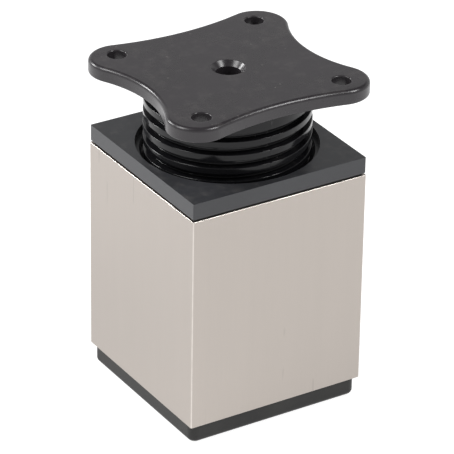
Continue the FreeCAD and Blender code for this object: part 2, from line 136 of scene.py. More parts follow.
def rounded_path(corners: Sequence[tuple[float, float, float]], steps: int = 4) -> list[Vector]:
    """Open path whose inner corners are rounded.

    Args:
        corners: Each corner's two coordinates and its radius, 0 for a sharp one.
        steps: Steps round each rounded corner.

    Returns:
        The points of the path.
    """
    spots = [Vector(corner[:2]) for corner in corners]
    path = []
    for number, here in enumerate(spots):
        radius = corners[number][2]
        if radius == 0:
            path.append(here)
            continue
        back = (spots[number - 1] - here).normalized()
        onward = (spots[number + 1] - here).normalized()
        half = back.angle(onward) / 2
        centre = here + (back + onward).normalized() * radius / math.sin(half)
        first, last = (here + leg * radius / math.tan(half) - centre for leg in (back, onward))
        start = math.atan2(first.y, first.x)
        sweep = math.remainder(math.atan2(last.y, last.x) - start, FULL_TURN)
        path += arc(centre, radius, start, start + sweep, steps)
    return path


def circle(radius: float, z: float, centre: Pair = (0.0, 0.0), count: int = 64) -> list[Vector]:
    """Level ring of points.

    Args:
        radius: Radius of the ring.
        z: Its height.
        centre: Its centre.
        count: Number of points.

    Returns:
        The points, counter-clockwise.
    """
    return [Vector((centre[0] + radius * math.cos(FULL_TURN * i / count),
                    centre[1] + radius * math.sin(FULL_TURN * i / count), z)) for i in range(count)]


def rounded_square(half: float, radius: float, z: float, steps: int = 6) -> list[Vector]:
    """Level square ring with rounded corners.

    Args:
        half: Half the side.
        radius: Corner radius.
        z: Height of the ring.
        steps: Steps round each corner.

    Returns:
        The points, counter-clockwise.
    """
    inner, points = half - radius, []
    for turn, (x, y) in enumerate(((1, 1), (-1, 1), (-1, -1), (1, -1))):
        start = turn * math.pi / 2
        points += arc(Vector((x * inner, y * inner)), radius, start, start + math.pi / 2, steps)
    return [point.to_3d() + Vector((0, 0, z)) for point in points]


class Shell:
    """Closed skin that is built up ring by ring."""

    def __init__(self) -> None:
        """Starts with no points."""
        self.points: list[Vector] = []
        self.faces: list[tuple[int, ...]] = []

    def ring(self, points: Iterable[Vector]) -> list[int]:
        """Adds points.

        Args:
            points: The points of one ring.

        Returns:
            The numbers of the new points.
        """
        first = len(self.points)
        self.points.extend(points)
        return list(range(first, len(self.points)))

    def loft(self, rings: Sequence[list[int]], closed: bool = True) -> None:
        """Joins each ring to the next with four-sided faces.

        Args:
            rings: Rings with the same number of points.
            closed: Whether each ring's end meets its start.
        """
        for lower, upper in zip(rings, rings[1:]):
            for i in range(len(lower) - (not closed)):
                j = (i + 1) % len(lower)
                self.faces.append((lower[i], lower[j], upper[j], upper[i]))

    def flat(self, outer: list[int], holes: Sequence[list[int]] = ()) -> None:
        """Fills a level ring, leaving holes.

        Args:
            outer: The ring round the face.
            holes: Rings left open.
        """
        loops = [outer, *holes]
        numbers = [number for loop in loops for number in loop]
        spots = [[self.points[number] for number in loop] for loop in loops]
        self.faces += [tuple(numbers[i] for i in triangle) for triangle in tessellate_polygon(spots)]

    def build(self, name: str, sharp: float = 32.0) -> bpy.types.Object:
        """Makes the object.

        Args:
            name: Name of the piece.
            sharp: Angle in degrees above which an edge stays sharp.

        Returns:
            The new object, welded, with all faces turned outward.
        """
        mesh = bpy.data.meshes.new(name)
        mesh.from_pydata([tuple(point) for point in self.points], [], self.faces)
        work = bmesh.new()
        work.from_mesh(mesh)
        bmesh.ops.remove_doubles(work, verts=work.verts, dist=WELD)
        bmesh.ops.dissolve_degenerate(work, dist=WELD, edges=work.edges)
        loose = [vert for vert in work.verts if not vert.link_faces]
        bmesh.ops.delete(work, geom=loose, context="VERTS")
        bmesh.ops.recalc_face_normals(work, faces=work.faces)
        for face in work.faces:
            face.smooth = True
        work.to_mesh(mesh)
        work.free()
        mesh.set_sharp_from_angle(angle=math.radians(sharp))
        piece = bpy.data.objects.new(name, mesh)
        bpy.context.scene.collection.objects.link(piece)
        level = piece.modifiers.new("FlatFaces", "WEIGHTED_NORMAL")
        level.keep_sharp = True
        level.weight = 80
        return piece


# ---------------------------------------------------------------- node helpers


class Graph:
    """Short way to add and join the nodes of one tree."""

    def __init__(self, tree: bpy.types.NodeTree) -> None:
        """Takes the tree to work on."""
        self.tree = tree

    def feed(self, socket: bpy.types.NodeSocket, value: Value) -> None:
        """Links a socket into another, or sets its value.

        Args:
            socket: The input.
            value: An output to link, or the value to set.
        """
        if isinstance(value, bpy.types.NodeSocket):
            self.tree.links.new(value, socket)
        else:
            socket.default_value = value

    def add(self, kind: str, inputs: Mapping | None = None, **settings: object) -> bpy.types.Node:
        """Adds a node.

        Args:
            kind: Node type, without its ShaderNode prefix.
            inputs: Values or links by input name or number.
            **settings: Properties of the node.

        Returns:
            The node.
        """
        node = self.tree.nodes.new("ShaderNode" + kind)
        for name, setting in settings.items():
            setattr(node, name, setting)
        for key, value in (inputs or {}).items():
            self.feed(node.inputs[key], value)
        return node

    def math(self, operation: str, *values: Value, clamp: bool = False) -> bpy.types.NodeSocket:
        """Result of a Math node.

        Args:
            operation: Its operation.
            *values: Its inputs in order.
            clamp: Whether the result is kept from 0 to 1.

        Returns:
            The output socket.
        """
        return self.add("Math", dict(enumerate(values)), operation=operation, use_clamp=clamp).outputs[0]

    def span(self, value: Value, source: Pair, target: Pair = (0.0, 1.0)) -> bpy.types.NodeSocket:
        """Value carried smoothly from one range to another.

        Args:
            value: The value to carry over.
            source: Its range.
            target: The new range.

        Returns:
            The output socket.
        """
        inputs = {"Value": value, "From Min": source[0], "From Max": source[1],
                  "To Min": target[0], "To Max": target[1]}
        return self.add("MapRange", inputs, interpolation_type="SMOOTHSTEP").outputs[0]

    def blend(self, factor: Value, first: Value, second: Value) -> bpy.types.NodeSocket:
        """Colour between two colours.

        Args:
            factor: Share of the second colour.
            first: First colour.
            second: Second colour.

        Returns:
            The output socket.
        """
        ends = [(*end, 1.0) if isinstance(end, tuple) else end for end in (first, second)]
        return self.add("Mix", {0: factor, 6: ends[0], 7: ends[1]}, data_type="RGBA").outputs[2]

    def places(self, stretch: tuple[float, float, float] = (1.0, 1.0, 1.0),
               turn: tuple[float, float, float] = (0.0, 0.0, 0.0)) -> bpy.types.NodeSocket:
        """Place on the piece, in metres.

        Args:
            stretch: Factor on each axis.
            turn: Rotation about each axis in radians.

        Returns:
            The output socket.
        """
        here = self.add("TexCoord").outputs["Object"]
        return self.add("Mapping", {"Vector": here, "Rotation": turn, "Scale": stretch}).outputs[0]

    def noise(self, places: Value, scale: Value, detail: float = 2.0, rough: float = 0.5) -> bpy.types.NodeSocket:
        """Smooth noise.

        Args:
            places: Where it is read.
            scale: Features per metre.
            detail: Number of finer layers.
            rough: Weight of the finer layers.

        Returns:
            The output socket, about 0.5 on average.
        """
        inputs = {"Vector": places, "Scale": scale, "Detail": detail, "Roughness": rough}
        return self.add("TexNoise", inputs).outputs[0]

    def bump(self, height: Value, depth: float, under: Value | None = None) -> bpy.types.NodeSocket:
        """Normal of a relief.

        Args:
            height: Height from 0 to 1.
            depth: Depth of the relief in metres.
            under: Normal that the relief lies on.

        Returns:
            The output socket.
        """
        inputs = {"Height": height, "Distance": depth, "Strength": 1.0}
        if under is not None:
            inputs["Normal"] = under
        return self.add("Bump", inputs).outputs[0]

    def effect(self, effect: Effect, values: Mapping[str, float]) -> "bpy.types.NodeOutputs":
        """Places a shared effect.

        Args:
            effect: Which effect.
            values: Its inputs by name.

        Returns:
            The outputs of the group node.
        """
        tree = bpy.data.node_groups.get(effect.value) or EFFECT_BUILDERS[effect]()
        node = self.add("Group", node_tree=tree)
        for name, value in values.items():
            self.feed(node.inputs[name], value)
        return node.outputs


class EffectGroup:
    """One node group under construction."""

    def __init__(self, effect: Effect, inputs: Mapping[str, float], outputs: Sequence[str]) -> None:
        """Makes the group with its sockets.

        Args:
            effect: Which effect the group is.
            inputs: Default of each named input.
            outputs: Names of the outputs.
        """
        self.tree = bpy.data.node_groups.new(effect.value, "ShaderNodeTree")
        for name, default in inputs.items():
            socket = self.tree.interface.new_socket(
                name=name, in_out="INPUT", socket_type="NodeSocketFloat")
            socket.default_value = default
        for name in outputs:
            self.tree.interface.new_socket(name=name, in_out="OUTPUT", socket_type="NodeSocketFloat")
        self.graph = Graph(self.tree)
        self.inputs = self.tree.nodes.new("NodeGroupInput").outputs
        self.exit = self.tree.nodes.new("NodeGroupOutput")

    def close(self, outputs: Mapping[str, Value]) -> bpy.types.NodeTree:
        """Joins the outputs.

        Args:
            outputs: What each named output gives.

        Returns:
            The finished group.
        """
        for name, value in outputs.items():
            self.graph.feed(self.exit.inputs[name], value)
        return self.tree


def moulded_skin() -> bpy.types.NodeTree:
    """Fine spark-eroded grain of a moulding, with slow changes of tone and gloss.

    Returns:
        The node group.
    """
    group = EffectGroup(Effect.MOULDED_SKIN, {"Grain per metre": 3500.0, "Cloud per metre": 55.0},
                        ("Height", "Tone", "Gloss"))
    graph = group.graph
    here = graph.places()
    grain = graph.noise(here, group.inputs["Grain per metre"], 3.0, 0.6)
    pits = graph.add("TexVoronoi", {"Vector": here, "Scale": group.inputs["Grain per metre"]}).outputs[0]
    height = graph.math("ADD", graph.math("MULTIPLY", grain, 0.7), graph.math("MULTIPLY", pits, 0.3))
    cloud = graph.noise(here, group.inputs["Cloud per metre"], 4.0, 0.55)
    tone = graph.math("ADD", graph.span(cloud, (0.3, 0.7), (0.0, 0.75)), graph.math("MULTIPLY", grain, 0.25))
    return group.close({"Height": height, "Tone": tone, "Gloss": graph.span(cloud, (0.35, 0.68))})


def handling_marks() -> bpy.types.NodeTree:
    """Fine short scratches in three directions, in patches.

    Returns:
        The node group.
    """
    group = EffectGroup(Effect.HANDLING_MARKS, {"Amount": 0.5}, ("Mask",))
    graph = group.graph
    lines: Value = 0.0
    for turn, stretch in ((0.5, (1.0, 0.06, 1.0)), (2.1, (1.0, 0.05, 1.0)), (1.1, (0.07, 1.0, 1.0))):
        streak = graph.noise(graph.places(stretch, (0.0, 0.0, turn)), 1900.0, 1.0)
        lines = graph.math("MAXIMUM", lines, graph.span(streak, (0.70, 0.76)))
    patches = graph.span(graph.noise(graph.places(), 120.0, 3.0), (0.5, 0.68))
    mask = graph.math("MULTIPLY", graph.math("MULTIPLY", lines, patches), group.inputs["Amount"], clamp=True)
    return group.close({"Mask": mask})


def settled_dust() -> bpy.types.NodeTree:
    """Sparse specks and a thin film on faces that look up.

    Returns:
        The node group.
    """
    group = EffectGroup(Effect.SETTLED_DUST, {"Amount": 0.4, "Specks per metre": 420.0}, ("Mask",))
    graph = group.graph
    here = graph.places()
    spots = graph.add("TexVoronoi", {"Vector": here, "Scale": group.inputs["Specks per metre"]})
    near = graph.span(spots.outputs[0], (0.05, 0.16), (1.0, 0.0))
    chosen = graph.add("SeparateColor", {0: spots.outputs[1]}).outputs[0]
    specks = graph.math("MULTIPLY", near, graph.math("GREATER_THAN", chosen, 0.88))
    film = graph.span(graph.noise(here, 260.0, 5.0, 0.65), (0.45, 0.85), (0.0, 0.30))
    facing = graph.add("SeparateXYZ", {0: graph.add("NewGeometry").outputs["Normal"]}).outputs[2]
    settled = graph.math("MULTIPLY", graph.math("MAXIMUM", specks, film), graph.span(facing, (0.35, 0.95)))
    return group.close({"Mask": graph.math("MULTIPLY", settled, group.inputs["Amount"], clamp=True)})


def edge_rub_and_highlight() -> bpy.types.NodeTree:
    """Outer edges that handling has polished and that are lightened as painted highlight, broken up by noise.

    Returns:
        The node group.
    """
    group = EffectGroup(Effect.EDGE_RUB, {"Amount": 0.5, "Width": 0.0004, "Breaks per metre": 400.0}, ("Mask",))
    graph = group.graph
    wide = graph.add("Bevel", {"Radius": group.inputs["Width"]}, samples=4).outputs[0]
    true = graph.add("NewGeometry").outputs["Normal"]
    apart = graph.add("VectorMath", {0: wide, 1: true}, operation="DOT_PRODUCT").outputs["Value"]
    # edge mask, used both for rub and for painted highlight on the edges
    edge = graph.span(apart, (0.80, 0.995), (1.0, 0.0))
    breaks = graph.span(graph.noise(graph.places(), group.inputs["Breaks per metre"], 4.0), (0.3, 0.6), (0.35, 1.0))
    mask = graph.math("MULTIPLY", graph.math("MULTIPLY", edge, breaks), group.inputs["Amount"], clamp=True)
    return group.close({"Mask": mask})


def brush_strokes() -> bpy.types.NodeTree:
    """Upright strokes of a brushed or linished metal.

    Returns:
        The node group.
    """
    group = EffectGroup(Effect.BRUSH_STROKES, {"Strokes per metre": 5200.0}, ("Height", "Tone", "Hairline"))
    graph = group.graph
    fine = graph.noise(graph.places((1.0, 1.0, 0.012)), group.inputs["Strokes per metre"], 2.0, 0.6)
    broad = graph.noise(graph.places((1.0, 1.0, 0.05)), 260.0, 3.0)
    single = graph.noise(graph.places((1.0, 1.0, 0.028)), 850.0, 0.0)
    chance = graph.noise(graph.places((1.0, 1.0, 0.6)), 90.0, 2.0)
    hairline = graph.math("MULTIPLY", graph.span(single, (0.76, 0.80)), graph.span(chance, (0.57, 0.63)))
    tone = graph.math("ADD", graph.math("MULTIPLY", fine, 0.6), graph.math("MULTIPLY", broad, 0.4))
    return group.close({"Height": fine, "Tone": tone, "Hairline": hairline})


def painted_corner_highlight() -> bpy.types.NodeTree:
    """Painted highlight on the rounded edges of a square piece, broken up by noise.

    Returns:
        The node group.
    """
    group = EffectGroup(Effect.CORNER_POLISH, {"Amount": 1.0, "Breaks per metre": 260.0}, ("Mask",))
    graph = group.graph
    facing = graph.add("VectorMath", {0: graph.add("NewGeometry").outputs["Normal"]}, operation="ABSOLUTE").outputs[0]
    parts = graph.add("SeparateXYZ", {0: facing}).outputs
    square = graph.math("MAXIMUM", graph.math("MAXIMUM", parts[0], parts[1]), parts[2])
    edge = graph.span(square, (0.80, 0.985), (1.0, 0.0))
    breaks = graph.span(graph.noise(graph.places(), group.inputs["Breaks per metre"], 4.0), (0.25, 0.55), (0.55, 1.0))
    mask = graph.math("MULTIPLY", graph.math("MULTIPLY", edge, breaks), group.inputs["Amount"], clamp=True)
    return group.close({"Mask": mask})


EFFECT_BUILDERS = {
    Effect.MOULDED_SKIN: moulded_skin,
    Effect.HANDLING_MARKS: handling_marks,
    Effect.SETTLED_DUST: settled_dust,
    Effect.EDGE_RUB: edge_rub_and_highlight,
    Effect.BRUSH_STROKES: brush_strokes,
    Effect.CORNER_POLISH: painted_corner_highlight,
}


# ---------------------------------------------------------------- finishes


def new_material(name: str) -> tuple[Graph, bpy.types.Node]:
    """Empty material of one Principled shader.

    Args:
        name: Name of the material.

    Returns:
        Its graph and its shader.
    """
    material = bpy.data.materials.new(name)
    material.use_nodes = True
    return Graph(material.node_tree), material.node_tree.nodes["Principled BSDF"]


@dataclass(frozen=True)
class MouldedPlastic:
    """Dark moulded plastic with fine grain, light marks and a little dust."""

    name: str
    colour: Colour
    roughness: float
    grain_depth: float = 0.006 * MM
    grain_per_metre: float = 3500.0
    gloss_spread: float = 0.06
    marks: float = 0.5
    dust: float = 0.3
    # amount of edge rub, which also paints highlight along the edges
    rub_and_highlight: float = 0.3
    mottle: float = 0.14
    ior: float = 1.5

    def material(self) -> bpy.types.Material:
        """Builds the material.

        Returns:
            The material.
        """
        graph, shader = new_material(self.name)
        skin = graph.effect(Effect.MOULDED_SKIN, {"Grain per metre": self.grain_per_metre})
        marks = graph.effect(Effect.HANDLING_MARKS, {"Amount": self.marks})["Mask"]
        dust = graph.effect(Effect.SETTLED_DUST, {"Amount": self.dust})["Mask"]
        rub_and_highlight = graph.effect(Effect.EDGE_RUB, {"Amount": self.rub_and_highlight})["Mask"]
        deep = tuple((1 - self.mottle) * part for part in self.colour)
        pale = tuple((1 + self.mottle) * part for part in self.colour)
        # pale colour for rubbed edges and handling marks; on the edges it is also painted highlight
        worn_and_highlit = tuple(1.6 * part + 0.015 for part in self.colour)
        colour = graph.blend(skin["Tone"], deep, pale)
        colour = graph.blend(graph.math("MAXIMUM", rub_and_highlight, graph.math("MULTIPLY", marks, 0.5)), colour, worn_and_highlit)
        colour = graph.blend(dust, colour, DUST)
        spread = graph.math("MULTIPLY_ADD", skin["Gloss"], self.gloss_spread, self.roughness - self.gloss_spread / 2)
        spread = graph.math("MULTIPLY_ADD", rub_and_highlight, -0.08, spread)
        spread = graph.math("MULTIPLY_ADD", graph.math("MAXIMUM", marks, dust), 0.22, spread)
        grained = graph.bump(skin["Height"], self.grain_depth)
        graph.feed(shader.inputs["Base Color"], colour)
        graph.feed(shader.inputs["Roughness"], spread)
        graph.feed(shader.inputs["Normal"], graph.bump(marks, -0.004 * MM, grained))
        shader.inputs["IOR"].default_value = self.ior
        return bpy.data.materials[self.name]


@dataclass(frozen=True)
class BrushedMetal:
    """Brushed metal with rubbed edges lightened as painted highlight, fine upright strokes and a few hairlines."""

    name: str
    colour: Colour
    rubbed_and_highlit_edge_colour: Colour
    roughness: float
    stroke_depth: float = 0.0005 * MM
    strokes_per_metre: float = 5200.0
    rub_and_highlight: float = 0.8
    rub_and_highlight_width: float = 0.0005
    hairlines: float = 0.4
    # amount of painted highlight along the rounded corners
    corners: float = 0.0

    def material(self) -> bpy.types.Material:
        """Builds the material.

        Returns:
            The material.
        """
        graph, shader = new_material(self.name)
        strokes = graph.effect(Effect.BRUSH_STROKES, {"Strokes per metre": self.strokes_per_metre})
        rub_and_highlight = graph.effect(Effect.EDGE_RUB, {"Amount": self.rub_and_highlight, "Width": self.rub_and_highlight_width})["Mask"]
        # painted highlight along the rounded corners
        corner_highlight = graph.effect(Effect.CORNER_POLISH, {"Amount": self.corners})["Mask"]
        rub_and_highlight = graph.math("MAXIMUM", rub_and_highlight, corner_highlight)
        deep = tuple(0.985 * part for part in self.colour)
        pale = tuple(1.015 * part for part in self.colour)
        dull = tuple(0.70 * part for part in self.colour)
        colour = graph.blend(graph.span(strokes["Tone"], (0.3, 0.7)), deep, pale)
        colour = graph.blend(graph.math("MULTIPLY", strokes["Hairline"], self.hairlines), colour, dull)
        # edges and rounded corners go toward the bright edge colour: painted highlight together with rub
        colour = graph.blend(rub_and_highlight, colour, self.rubbed_and_highlit_edge_colour)
        spread = graph.math("MULTIPLY_ADD", strokes["Tone"], 0.05, self.roughness - 0.025)
        graph.feed(shader.inputs["Base Color"], colour)
        graph.feed(shader.inputs["Roughness"], graph.math("MULTIPLY_ADD", rub_and_highlight, -0.06, spread))
        graph.feed(shader.inputs["Normal"], graph.bump(strokes["Height"], self.stroke_depth))
        shader.inputs["Metallic"].default_value = 1.0
        return bpy.data.materials[self.name]


# corners=1.0 paints a highlight line along the sleeve's rounded corners
SATIN_NICKEL = BrushedMetal("satin_nickel", (0.448, 0.407, 0.374), (0.64, 0.60, 0.56), 0.36, stroke_depth=0.0003 * MM,
                            corners=1.0)
SPRING_STEEL = BrushedMetal("spring_steel", (0.16, 0.16, 0.165), (0.40, 0.40, 0.40), 0.42)
ZINC_PLATE = BrushedMetal("zinc_plate", (0.56, 0.57, 0.58), (0.80, 0.80, 0.80), 0.30, strokes_per_metre=2500.0)
PLATE_SATIN = MouldedPlastic("plate_satin", (0.026, 0.023, 0.026), 0.27, grain_depth=0.003 * MM)
# strong edge lightening on the barrel paints highlights on the thread's ridge edges
BARREL_GLOSS = MouldedPlastic("barrel_gloss", (0.006, 0.006, 0.007), 0.13, grain_depth=0.001 * MM, marks=0.2,
                              dust=0.1, rub_and_highlight=0.9, ior=1.35)
COLLAR_SATIN = MouldedPlastic("collar_satin", (0.036, 0.037, 0.041), 0.38, dust=0.5, marks=0.9)
SHOE_MATT = MouldedPlastic("shoe_matt", (0.016, 0.0155, 0.0145), 0.50, grain_depth=0.040 * MM,
                           grain_per_metre=2200.0, dust=0.2, mottle=0.5, ior=1.42)


def dress(piece: bpy.types.Object, finish: MouldedPlastic | BrushedMetal) -> None:
    """Gives a piece its finish.

    Args:
        piece: The piece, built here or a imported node.
        finish: Its finish.
    """
    material = bpy.data.materials.get(finish.name) or finish.material()
    if piece.material_slots:
        for place in piece.material_slots:
            place.material = material
    else:
        piece.data.materials.append(material)


# ---------------------------------------------------------------- sub-assemblies


@dataclass
class MountingPlate:
    """Lobed plate that screws to the furniture."""

    lobe: float = 9.4 * MM
    side_waist: float = 37.0 * MM
    front_waist: float = 85.0 * MM
    thickness: float = 4.5 * MM
    upper_edge: float = 1.3 * MM
    lower_edge: float = 0.5 * MM
    hole_rim: float = 0.4 * MM
    sink: float = 1.5 * MM
    boss: float = 7.5 * MM
    boss_drop: float = 10.45 * MM
    lobe_steps: int = 28
    waist_steps: int = 22

    def outline(self, inset: float, z: float) -> list[Vector]:
        """Edge of the plate at one height.

        Args:
            inset: How far it lies inside the widest edge.
            z: Its height.

        Returns:
            The points, counter-clockwise.
        """
        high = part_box("mounting_plate")[1]
        x, y = high.x - self.lobe, high.y - self.lobe
        far_x = x + math.sqrt((self.side_waist + self.lobe) ** 2 - y ** 2)
        far_y = y + math.sqrt((self.front_waist + self.lobe) ** 2 - x ** 2)
        lean_side, lean_front = math.atan2(y, far_x - x), math.atan2(x, far_y - y)
        quarter = math.pi / 2
        leans = (lean_side, lean_front) * 2
        points: list[Vector] = []
        for k, (sx, sy) in enumerate(((1, 1), (-1, 1), (-1, -1), (1, -1))):
            before, after = leans[k], leans[k + 1 if k < 3 else 0]
            start, end = k * quarter - before, (k + 1) * quarter + after
            points += arc(Vector((sx * x, sy * y)), self.lobe - inset, start, end, self.lobe_steps)
            heading = (k + 1) * quarter
            far, radius = (far_y, self.front_waist) if k % 2 == 0 else (far_x, self.side_waist)
            centre = far * Vector((round(math.cos(heading)), round(math.sin(heading))))
            points += arc(centre, radius + inset, end - math.pi, end - math.pi - 2 * after, self.waist_steps)[1:-1]
        return [point.to_3d() + Vector((0, 0, z)) for point in points]

    def build(self) -> bpy.types.Object:
        """Makes the plate, its holes and the boss under it as one skin.

        Returns:
            The piece.
        """
        mounts = {mount["name"]: mount["dims"] for mount in frame["record"]["mounts"]}
        holes, centre = mounts["plate_screws"], mounts["centre_hole"]
        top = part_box("mounting_plate")[1].z
        low = top - self.thickness
        shell = Shell()
        edge = rounded_path([(self.upper_edge + MM, low, 0), (0, low, self.lower_edge), (0, top, self.upper_edge),
                             (self.upper_edge + MM, top, 0)], 7)[1:-1]
        sides = [shell.ring(self.outline(point.x, point.y)) for point in edge]
        shell.loft(sides)

        upper_rims, lower_rims = [], []
        radius, rim = holes["hole_r_mm"] * MM, self.hole_rim
        wall = rounded_path([(radius + 2 * rim, top, 0), (radius, top, rim), (radius, low, 0.2 * MM),
                             (radius + 2 * rim, low, 0)], 5)[1:-1]
        for sx in (1, -1):
            for sy in (1, -1):
                spot = (sx * holes["spacing_x_mm"] * MM / 2, sy * holes["spacing_y_mm"] * MM / 2)
                rings = [shell.ring(circle(point.x, point.y, spot, 48)) for point in wall]
                shell.loft(rings)
                upper_rims.append(rings[0])
                lower_rims.append(rings[-1])

        bore, foot = centre["r_mm"] * MM, low - self.boss_drop
        wall = rounded_path([(bore + self.sink + MM, top, 0), (bore + self.sink, top, 0.18 * MM),
                             (bore, top - self.sink, 0.12 * MM), (bore, foot, 0.3 * MM),
                             (self.boss, foot, 0.4 * MM), (self.boss, low, 0)], 4)[1:]
        rings = [shell.ring(circle(point.x, point.y, count=64)) for point in wall]
        shell.loft(rings)
        shell.flat(sides[-1], [rings[0], *upper_rims])
        shell.flat(sides[0], [rings[-1], *lower_rims])
        return shell.build("lobed_plate")

    def make(self) -> list[bpy.types.Object]:
        """Builds and dresses the plate.

        Returns:
            The piece, in a list.
        """
        piece = self.build()
        dress(piece, PLATE_SATIN)
        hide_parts("mounting_plate")
        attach(piece, Body.PLATE.value)
        return [piece]


@dataclass
class Barrel:
    """Hollow barrel with a coarse thread, moulded under the plate."""

    crest: float = 25.2 * MM
    root: float = 23.2 * MM
    groove_crest: float = 2.3 * MM
    groove_root: float = 1.5 * MM
    crest_edge: float = 0.24 * MM
    root_edge: float = 0.20 * MM
    groove_start: float = 48.9 * MM
    groove_turns: float = 11.7
    fade_turns: float = 0.03
    pilot: float = 22.9 * MM
    pilot_top: float = 52.0 * MM
    seat: float = 21.4 * MM
    seat_low: float = 48.5 * MM
    seat_high: float = 50.9 * MM
    bore: float = 18.9 * MM
    plate_low: float = 101.1 * MM
    rib: float = 0.9 * MM
    rib_inner: float = 7.2 * MM
    rib_drop: float = 9.45 * MM
    rib_bite: float = 0.5 * MM
    columns: int = 144
    parting_height: float = 0.07 * MM
    parting_half: float = 0.004
    parting_angle: float = math.radians(88.0)

    def __post_init__(self) -> None:
        """Works out the pitch and half of the groove's rounded section."""
        coupling = frame["record"]["behaviour"]["couplings"][0]
        self.pitch = FULL_TURN / coupling["ratio"]
        self.section = rounded_path([
            (0, self.root, 0), (self.groove_root / 2, self.root, self.root_edge),
            (self.groove_crest / 2, self.crest, self.crest_edge), (self.pitch / 2, self.crest, 0)], 3)

    def angles(self) -> list[float]:
        """Angles of the columns of points, closer together at the mould's two parting lines.

        Returns:
            The angles in order, from 0 to a full turn.
        """
        even = [FULL_TURN * column / self.columns for column in range(self.columns + 1)]
        fine = [self.parting_angle + half * math.pi + step * self.parting_half
                for half in (0, 1) for step in (-1, 0, 1)]
        return sorted(even + fine)

    def parting(self, angle: float) -> float:
        """Height of the parting line's thin ridge at an angle.

        Args:
            angle: Angle about the axis.

        Returns:
            The height above the barrel's surface.
        """
        away = abs(math.remainder(angle - self.parting_angle, math.pi))
        return self.parting_height * max(1 - away / self.parting_half, 0.0)

    def radius(self, angle: float, z: float) -> float:
        """Outside radius of the threaded part.

        Args:
            angle: Angle about the axis.
            z: Height.

        Returns:
            The radius there.
        """
        along = (z - self.groove_start) / self.pitch - angle / FULL_TURN
        turn = round(along)
        offset = abs(along - turn) * self.pitch
        radius = self.crest
        for near, far in zip(self.section, self.section[1:]):
            if near.x <= offset <= far.x:
                radius = near.y + (far.y - near.y) * (offset - near.x) / max(far.x - near.x, 1e-9)
        left = (self.groove_turns - turn - angle / FULL_TURN) / self.fade_turns
        depth = min(max(left, 0.0), 1.0)
        radius = self.crest - (self.crest - radius) * depth * depth * (3 - 2 * depth)
        return min(radius, self.pilot + max(z - self.pilot_top, 0.0))

    def build(self) -> bpy.types.Object:
        """Makes the barrel as one closed skin whose faces follow the thread.

        Returns:
            The piece.
        """
        low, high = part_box("mounting_plate")[0].z, self.plate_low + 0.6 * MM
        plain = rounded_path([
            (self.bore, high, 0), (self.bore, low, 0.4 * MM), (self.pilot, low, 0.5 * MM),
            (self.pilot, self.seat_low, 0), (self.seat, self.seat_low, 0), (self.seat, self.seat_high, 0),
            (self.pilot, self.seat_high, 0), (self.pilot, self.pilot_top, 0)], 3)
        offsets = [point.x for point in self.section[1:-1]]
        offsets = [-offset for offset in reversed(offsets)] + offsets
        first = math.floor((self.pilot_top - self.groove_start) / self.pitch) - 1
        last = math.ceil((high - self.groove_start) / self.pitch) + 1
        levels = [self.groove_start + turn * self.pitch + offset
                  for turn in range(first, last + 1) for offset in offsets]
        shell = Shell()
        rings = []
        for angle in self.angles():
            rise = self.pitch * angle / FULL_TURN
            ridge = self.parting(angle)
            spots = [(point.x, point.y) for point in plain]
            for level in levels:
                z = min(max(level + rise, self.pilot_top), high)
                spots.append((self.radius(angle, z) + ridge, z))
            spots.append((self.crest, high))
            rings.append(shell.ring(Vector((r * math.cos(angle), r * math.sin(angle), z)) for r, z in spots))
        shell.loft(rings)
        self.add_ribs(shell)
        return shell.build("threaded_barrel", 50.0)

    def add_ribs(self, shell: Shell) -> None:
        """Adds the four stiffening ribs between the boss and the barrel's wall.

        Args:
            shell: The barrel's skin.
        """
        inner, outer = self.rib_inner, self.bore + self.rib_bite
        low, high = self.plate_low - self.rib_drop, self.plate_low + 0.3 * MM
        for quarter in range(4):
            spin = Matrix.Rotation(quarter * math.pi / 2, 3, "Z")
            rings = []
            for half, z in ((0.75 * self.rib, low), (0.9 * self.rib, low + 0.3 * MM), (self.rib, high)):
                corners = ((inner, -half), (outer, -half), (outer, half), (inner, half))
                rings.append(shell.ring(spin @ Vector((x, y, z)) for x, y in corners))
            shell.loft(rings)
            shell.flat(rings[0])
            shell.flat(rings[-1])

    def make(self) -> list[bpy.types.Object]:
        """Builds and dresses the barrel.

        Returns:
            The piece, in a list.
        """
        piece = self.build()
        dress(piece, BARREL_GLOSS)
        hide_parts("mounting_plate")
        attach(piece, Body.PLATE.value)
        return [piece]


@dataclass
class Sleeve:
    """Square metal tube with bent corners and lightly broken cut ends."""

    wall: float = 1.5 * MM
    corner: float = 0.5 * MM
    inner_corner: float = 0.3 * MM
    end_break: float = 0.2 * MM

    def build(self) -> bpy.types.Object:
        """Makes the tube.

        Returns:
            The piece.
        """
        low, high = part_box("sleeve")
        half, shell = high.x, Shell()
        outside = rounded_path([(self.wall, low.z, 0), (0, low.z, self.end_break), (0, high.z, self.end_break),
                                (self.wall, high.z, 0)], 3)[1:-1]
        rings = [shell.ring(rounded_square(half - point.x, self.corner - point.x, point.y, 8)) for point in outside]
        inside = rounded_path([(0, high.z, 0), (self.wall, high.z, 0.1 * MM), (self.wall, low.z, 0.1 * MM),
                               (0, low.z, 0)], 2)[1:-1]
        rings += [shell.ring(rounded_square(half - point.x, self.inner_corner, point.y, 8)) for point in inside]
        shell.loft([*rings, rings[0]])
        return shell.build("square_sleeve")

    def make(self) -> list[bpy.types.Object]:
        """Builds and dresses the sleeve.

        Returns:
            The piece, in a list.
        """
        piece = self.build()
        dress(piece, SATIN_NICKEL)
        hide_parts("sleeve")
        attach(piece, Body.HOUSING.value)
        return [piece]


